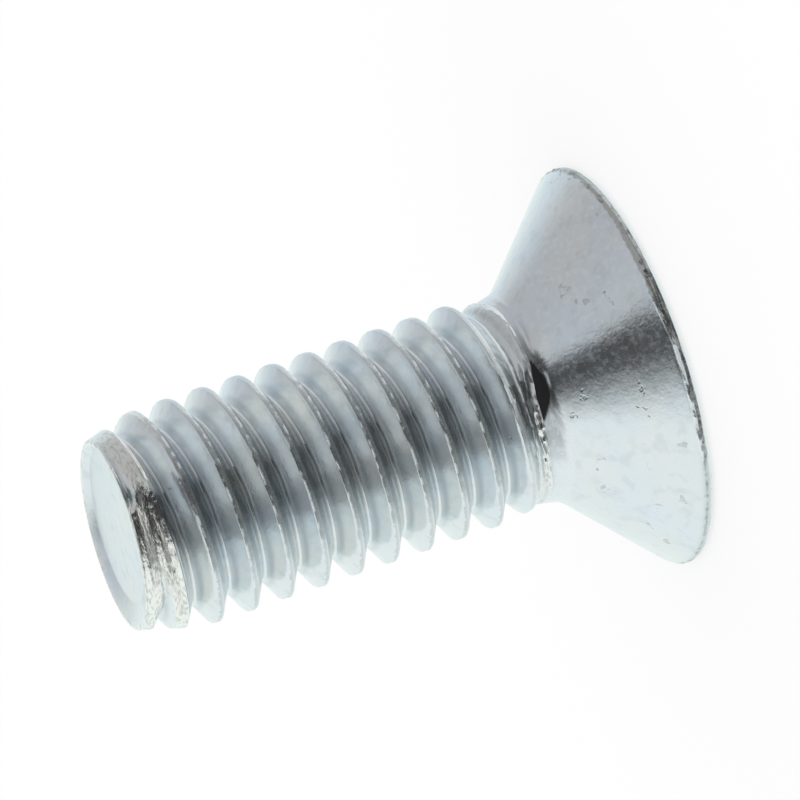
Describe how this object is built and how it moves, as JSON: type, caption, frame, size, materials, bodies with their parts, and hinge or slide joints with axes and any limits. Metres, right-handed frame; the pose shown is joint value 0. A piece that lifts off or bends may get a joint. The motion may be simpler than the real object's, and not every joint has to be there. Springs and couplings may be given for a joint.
{
  "type": "countersunk machine screw",
  "caption": "Short zinc-plated countersunk machine screw, threaded right up to the conical head, with a cross recess in its flat face.",
  "frame": {"origin": "centre of the flat face of the head, on which the screw stands", "axes": "+Z along the screw's axis from the head to the tip; the flat face of the head lies at z = 0"},
  "size_m": [0.0088, 0.0088, 0.012],
  "materials": {
    "zinc_plated_steel": "bright zinc plating with a clear bluish passivation"
  },
  "bodies": {
    "root": {"screw": "zinc_plated_steel"}
  },
  "joints": []
}
